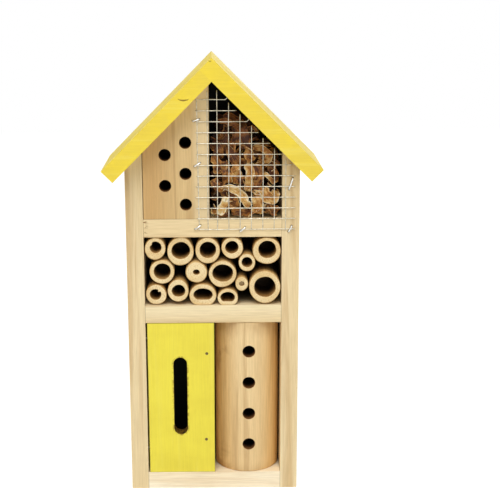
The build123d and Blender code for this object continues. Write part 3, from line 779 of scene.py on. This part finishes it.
def add_strip(bm, layers, rows, shade, seed):
    """Faces between rows of points. The tone varies along the strip and is paler at its torn edges, partly
    in their own colour and partly as a painted highlight on the curled edges.
    """
    tone_layer, flow_layer = layers
    wide = len(rows[0]) - 1
    grid = [[bm.verts.new(keep_in_gable(p)) for p in row] for row in rows]
    for j in range(len(grid) - 1):
        for i in range(wide):
            corners = ((j, i), (j, i + 1), (j + 1, i + 1), (j + 1, i))
            face = bm.faces.new([grid[row][column] for row, column in corners])
            for loop, (row, column) in zip(face.loops, corners):
                # the edges are paler, partly in their own colour and partly as a painted highlight
                edge = abs(2 * column / wide - 1) ** 4
                light = shade - 0.10 + 0.30 * edge + 0.25 * noise.noise(loop.vert.co * 300)
                light = min(max(light, 0.0), 1.0)
                loop[tone_layer] = (light, light, light, 1.0)
                loop[flow_layer] = (row / (len(grid) - 1), column / wide, (seed * 0.37) % 1.0, 1.0)


# The section of a ribbon: how far across, and how far its surface stands out, as shares of half its
# width
RIBBON_SECTION = (
    (-1.0, 0.20), (-0.88, 0.05), (-0.5, 0.02), (0.0, 0.12), (0.5, 0.03), (0.88, 0.06), (1.0, 0.24),
)


def ribbon_rows(path, width, roll, seed):
    """The rows of points of one ribbon along a path. It twists a little, and its torn edges lift."""
    rows = []
    last = len(path) - 1
    for i, p in enumerate(path):
        t = i / last
        way = (path[min(i + 1, last)] - path[max(i - 1, 0)]).normalized()
        twist = radians(roll) * (1.3 - 1.6 * t) + 0.6 * noise.noise(Vector((t * 2, seed, 4)))
        normal = Vector((0, -1, 0))
        normal = (normal - way * normal.dot(way)).normalized()
        normal = Matrix.Rotation(twist, 3, way) @ normal
        side = way.cross(normal)
        taper = min(1.0, 0.55 + 5 * t, 0.55 + 5 * (1 - t))
        row = []
        for k, lift in RIBBON_SECTION:
            ragged = 1 + 0.34 * noise.noise(Vector((t * 6, seed, k * 3)))
            ripple = 0.40 * MM * noise.noise(Vector((t * 7, seed, k * 1.5)))
            row.append(p + side * (k * width / 2 * taper * ragged) + normal * (lift * width / 2 + ripple))
        rows.append(row)
    return rows


def long_shaving(bm, layers, stops, width, roll, shade, seed):
    """One ribbon through its stops, given in millimetres with the depth behind the mesh last."""
    points = [Vector((x * MM, FRONT_Y + (0.4 + depth) * MM, z * MM)) for x, z, depth in stops]
    add_strip(bm, layers, ribbon_rows(smooth_path(points, 26), width * MM, roll, seed), shade, seed)


def random_ribbon(rng):
    """The rows of points of a wide ribbon behind the long shavings."""
    low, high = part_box("wood_shavings")
    depth = rng.uniform(5, 15) * MM
    centre = Vector((rng.uniform(low[0], high[0]), low[1] + depth, rng.uniform(low[2], high[2])))
    reach = rng.uniform(4.0, 9.0) * MM
    angle = rng.uniform(0, 2 * pi)
    way = Vector((cos(angle), rng.uniform(-0.4, 0.4), sin(angle)))
    bend = Vector((-sin(angle), rng.uniform(-0.8, 0.8), cos(angle))) * rng.uniform(-4, 4) * MM
    points = [
        centre - way * reach - bend,
        centre - way * reach * 0.3,
        centre + way * reach * 0.4,
        centre + way * reach - bend,
    ]
    width = rng.uniform(3.5, 7.5) * MM
    roll = rng.uniform(-60, 60)
    return ribbon_rows(smooth_path(points, 20), width, roll, rng.uniform(0, 50))


def curl(rng):
    """The rows of points of one curled shaving at a random place in the chamber."""
    low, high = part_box("wood_shavings")
    centre = Vector((
        rng.uniform(low[0] + 3 * MM, high[0] - 3 * MM),
        low[1] + 6 * MM + (high[1] - low[1] - 9 * MM) * rng.random() ** 1.1,
        rng.uniform(low[2] + 1 * MM, high[2] - 2 * MM),
    ))
    radius = rng.uniform(2.0, 5.5) * MM
    width = rng.uniform(2.0, 6.0) * MM
    sweep = rng.uniform(1.2, 5.0)
    grow = rng.uniform(-0.3, 0.5)
    drift = rng.uniform(-3.5, 3.5) * MM
    turn = Matrix.Rotation(rng.uniform(0, 2 * pi), 3, "Z") @ Matrix.Rotation(rng.uniform(0, pi), 3, "X")
    start = rng.uniform(0, 2 * pi)
    seed = rng.uniform(0, 50)
    steps = 22
    rows = []
    for i in range(steps + 1):
        t = i / steps
        angle = start + sweep * t
        r = radius * (1 + grow * t) * (1 + 0.12 * noise.noise(Vector((t * 3, seed, 0))))
        taper = min(1.0, 0.35 + 4 * t, 0.35 + 4 * (1 - t))
        row = []
        for side in (-1, -0.4, 0.4, 1):
            ragged = 1 + 0.25 * noise.noise(Vector((t * 9, seed, side)))
            along = side * width / 2 * taper * ragged + drift * t
            row.append(centre + turn @ Vector((r * cos(angle), r * sin(angle), along)))
        rows.append(row)
    return rows


def fits(rows):
    """True when the whole shaving is inside the chamber, below the roof."""
    return all((keep_in_gable(p) - p).length < 0.6 * MM for row in rows for p in row)


def scatter(bm, layers, rng, count, make_rows, tones):
    """Adds shavings that fit inside the chamber until there are enough."""
    made = 0
    while made < count:
        rows = make_rows(rng)
        if fits(rows):
            made += 1
            add_strip(bm, layers, rows, rng.uniform(*tones), rng.uniform(0, 50))


def sliver(rng):
    """The rows of points of a thin splinter among the front shavings."""
    low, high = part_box("wood_shavings")
    height = (high[2] - low[2]) * rng.random() ** 1.4
    centre = Vector((rng.uniform(low[0], high[0]), low[1] + rng.uniform(0.8, 5.0) * MM, low[2] + height))
    angle = rng.uniform(0, pi)
    way = Vector((cos(angle), rng.uniform(-0.3, 0.3), sin(angle))) * rng.uniform(1.5, 4.5) * MM
    bend = Vector((-sin(angle), 0, cos(angle))) * rng.uniform(-1.2, 1.2) * MM
    points = [centre - way - bend, centre, centre + way - bend]
    width = rng.uniform(0.3, 0.9) * MM
    roll = rng.uniform(-60, 60)
    return ribbon_rows(smooth_path(points, 12), width, roll, rng.uniform(0, 50))


def make_shavings(material):
    rng = random.Random(7)
    bm = bmesh.new()
    layers = bm.loops.layers.color.new("tone"), bm.loops.layers.color.new("flow")
    for i, (stops, width, roll, shade) in enumerate(LONG_SHAVINGS):
        long_shaving(bm, layers, stops, width * 1.2, roll, shade, i * 2.7)
    scatter(bm, layers, rng, RIBBON_COUNT, random_ribbon, (0.05, 0.60))
    scatter(bm, layers, rng, CURL_COUNT, curl, (0.05, 0.70))
    scatter(bm, layers, rng, SLIVER_COUNT, sliver, (0.4, 1.0))
    piece = add_piece("curled_shavings", bm, [material], ("wood_shavings",))
    thick = piece.modifiers.new("thickness", "SOLIDIFY")
    thick.thickness = SHAVING_THICKNESS
    thick.offset = 0


# Wire mesh
WIRE_RADIUS = 0.24 * MM
MESH_PITCH_X = 6.5 * MM
MESH_PITCH_Z = 6.2 * MM
SQUEEZED_PITCH = 5.5 * MM
MESH_RIGHT_WIRE = 41.9 * MM
MESH_LOW_WIRE = 161.9 * MM
LEVEL_WIRES = 13
BENT_UP_WIRES = (10, 12)  # level wires whose cut ends the pliers bent up, counted from below
ROOF_GAP = 2.2 * MM  # how far the cut ends stay below the roof


def tube_along(bm, points, radius, sides=8):
    """A round wire through the points, closed at both ends."""
    rings = []
    for i, p in enumerate(points):
        before = points[max(i - 1, 0)]
        after = points[min(i + 1, len(points) - 1)]
        way = (after - before).normalized()
        side = way.cross(Vector((0, 1, 0)))
        if side.length < 0.1:
            side = way.cross(Vector((1, 0, 0)))
        side.normalize()
        up = side.cross(way)
        ring = []
        for k in range(sides):
            a = 2 * pi * k / sides
            ring.append(bm.verts.new(p + (side * cos(a) + up * sin(a)) * radius))
        rings.append(ring)
    for first, second in zip(rings, rings[1:]):
        bridge(bm, first, second)
    bm.faces.new(rings[0])
    bm.faces.new(rings[-1])


def wavy(start, end, seed, sway=0.16 * MM, steps_per_metre=900):
    """Points of a slightly bent wire between two ends."""
    count = max(6, int((end - start).length * steps_per_metre))
    points = []
    for i in range(count + 1):
        p = start.lerp(end, i / count)
        q = Vector((p.x * 90, seed * 7.3, p.z * 90))
        depth = 0.3 * noise.noise(q + Vector((9, 0, 0)))
        points.append(p + Vector((noise.noise(q), depth, noise.noise(q * 0.9))) * sway)
    return points


def make_mesh_front(material):
    bm = bmesh.new()
    low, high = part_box("wire_mesh")
    upright_y = FRONT_Y - WIRE_RADIUS
    level_y = upright_y - 1.5 * WIRE_RADIUS
    columns = [MESH_RIGHT_WIRE - i * MESH_PITCH_X for i in range(7)]
    columns += [columns[-1] - i * SQUEEZED_PITCH for i in (1, 2)]
    rows = [MESH_LOW_WIRE + i * MESH_PITCH_Z for i in range(LEVEL_WIRES)]
    rng = random.Random(11)
    for i, x in enumerate(columns):
        top = min(high[2], INNER_RIDGE_Z - abs(x) - ROOF_GAP - rng.uniform(0, 1.6) * MM)
        # the outermost wire on the left leans a little
        lean = 0.5 * MM if x < columns[6] - 6 * MM else 0.0
        points = wavy(Vector((x + lean, upright_y, low[2])), Vector((x - lean, upright_y, top)), i)
        tube_along(bm, points, WIRE_RADIUS)
    for i, z in enumerate(rows):
        right = min(high[0], INNER_RIDGE_Z - z - ROOF_GAP - rng.uniform(0, 1.5) * MM)
        left = low[0] - rng.uniform(-0.5, 0.2) * MM
        points = wavy(Vector((left, level_y, z)), Vector((right, level_y, z)), 30 + i)
        if i in BENT_UP_WIRES:
            points.append(points[-1] + Vector((0.8, -0.2, 0.6)) * MM)
            points.append(points[-1] + Vector((0.9, -0.2, 1.9)) * MM)
        tube_along(bm, points, WIRE_RADIUS)
    # The small zinc fillets of the welds
    for x in columns:
        for z in rows:
            if z < INNER_RIDGE_Z - abs(x) - 3.4 * MM:
                centre = Vector((x, upright_y - 0.7 * WIRE_RADIUS, z))
                weld = bmesh.ops.create_icosphere(bm, subdivisions=1, radius=1.45 * WIRE_RADIUS)
                bmesh.ops.translate(bm, verts=weld["verts"], vec=centre)
    add_piece("galvanised_mesh", bm, [material], ("wire_mesh",))


# Staples: x and z in millimetres, the turn of the crown in degrees, and half the span of its legs
STAPLES = (
    (-8.9, 224.9, 15, 2.0), (-8.5, 199.6, 30, 2.0), (-8.5, 163.2, 34, 2.0),
    (17.3, 161.7, 40, 2.0), (44.6, 161.9, 62, 2.0), (44.8, 188.2, 71, 3.5),
)


def make_staples(material):
    """Each staple is one bent wire, with its crown just proud of the mesh and its legs in the wood."""
    bm = bmesh.new()
    radius = 0.45 * MM
    crown_y = FRONT_Y - 1.1 * MM
    for x, z, turn, span in STAPLES:
        reach = span * MM
        way = Vector((cos(radians(turn)), 0, sin(radians(turn))))
        centre = Vector((x * MM, crown_y, z * MM))
        inward = Vector((0, 1, 0))
        points = [
            centre - way * reach + inward * 5 * MM,
            centre - way * reach + inward * 1.2 * MM,
            centre - way * (reach - 0.05 * MM) + inward * 0.45 * MM,
            centre - way * (reach - 0.45 * MM),
            centre,
            centre + way * (reach - 0.45 * MM),
            centre + way * (reach - 0.05 * MM) + inward * 0.45 * MM,
            centre + way * reach + inward * 1.2 * MM,
            centre + way * reach + inward * 5 * MM,
        ]
        tube_along(bm, points, radius, 10)
    add_piece("bent_staples", bm, [material], ("mesh_staples",))


def make_chip(name, x, z, half, drop, material):
    """A crescent of torn grain on the front edge of a roof board."""
    bm = bmesh.new()
    front = ROOF_FRONT_Y + 0.02 * MM
    steps = 18
    upper = []
    lower = []
    for i in range(steps + 1):
        t = i / steps * 2 - 1
        bow = 1 - t * t
        ragged = 0.12 * MM * noise.noise(Vector((t * 6, x * 900, 0)))
        across = x + half * t
        upper.append(bm.verts.new((across, front, z - 0.35 * drop * bow + ragged)))
        lower.append(bm.verts.new((across, front, z - drop * bow - 0.05 * MM + ragged)))
    for i in range(steps):
        bm.faces.new((lower[i], lower[i + 1], upper[i + 1], upper[i]))
    piece = add_piece(name, bm, [material], ())
    thick = piece.modifiers.new("thickness", "SOLIDIFY")
    thick.thickness = 0.12 * MM
    thick.offset = 0


# ---------------------------------------------------------------- making

make_camera()
make_world()
make_floor()
area_light("key", (-0.20, -0.85, 1.45), (0, 0, 0.10), 1.0, 17.0)
area_light("back", (0.7, 1.4, 0.9), (0, 0, 0.12), 1.2, 5.0)
area_light("fill", (0.5, -1.3, 0.20), (0, 0, 0.06), 0.8, 4.6)
scene.view_settings.view_transform = "Standard"

board_materials()
block_material()
log_material()
painted_materials()
metal_materials()
soften_edges()

bamboo = bamboo_materials()
for number in range(1, len(BORES) + 1):
    make_tube(number, bamboo)
make_shavings(shaving_material())
galvanised = steel("galvanised_wire", srgb(214, 208, 190), srgb(176, 170, 150), 0.45)
make_mesh_front(galvanised)
make_staples(steel("staple_steel", srgb(228, 228, 224), srgb(180, 180, 176), 0.28))
torn = wood("torn_grain", srgb(176, 150, 48), srgb(150, 124, 40), srgb(110, 86, 30), "X", 4.4)
make_chip("roof_grain_tear", -15.6 * MM, RIDGE_Z - 22.2 * MM, 3.2 * MM, 1.3 * MM, torn)
make_chip("roof_apex_tear", -0.8 * MM, RIDGE_Z - 1.4 * MM, 0.9 * MM, 0.7 * MM, torn)
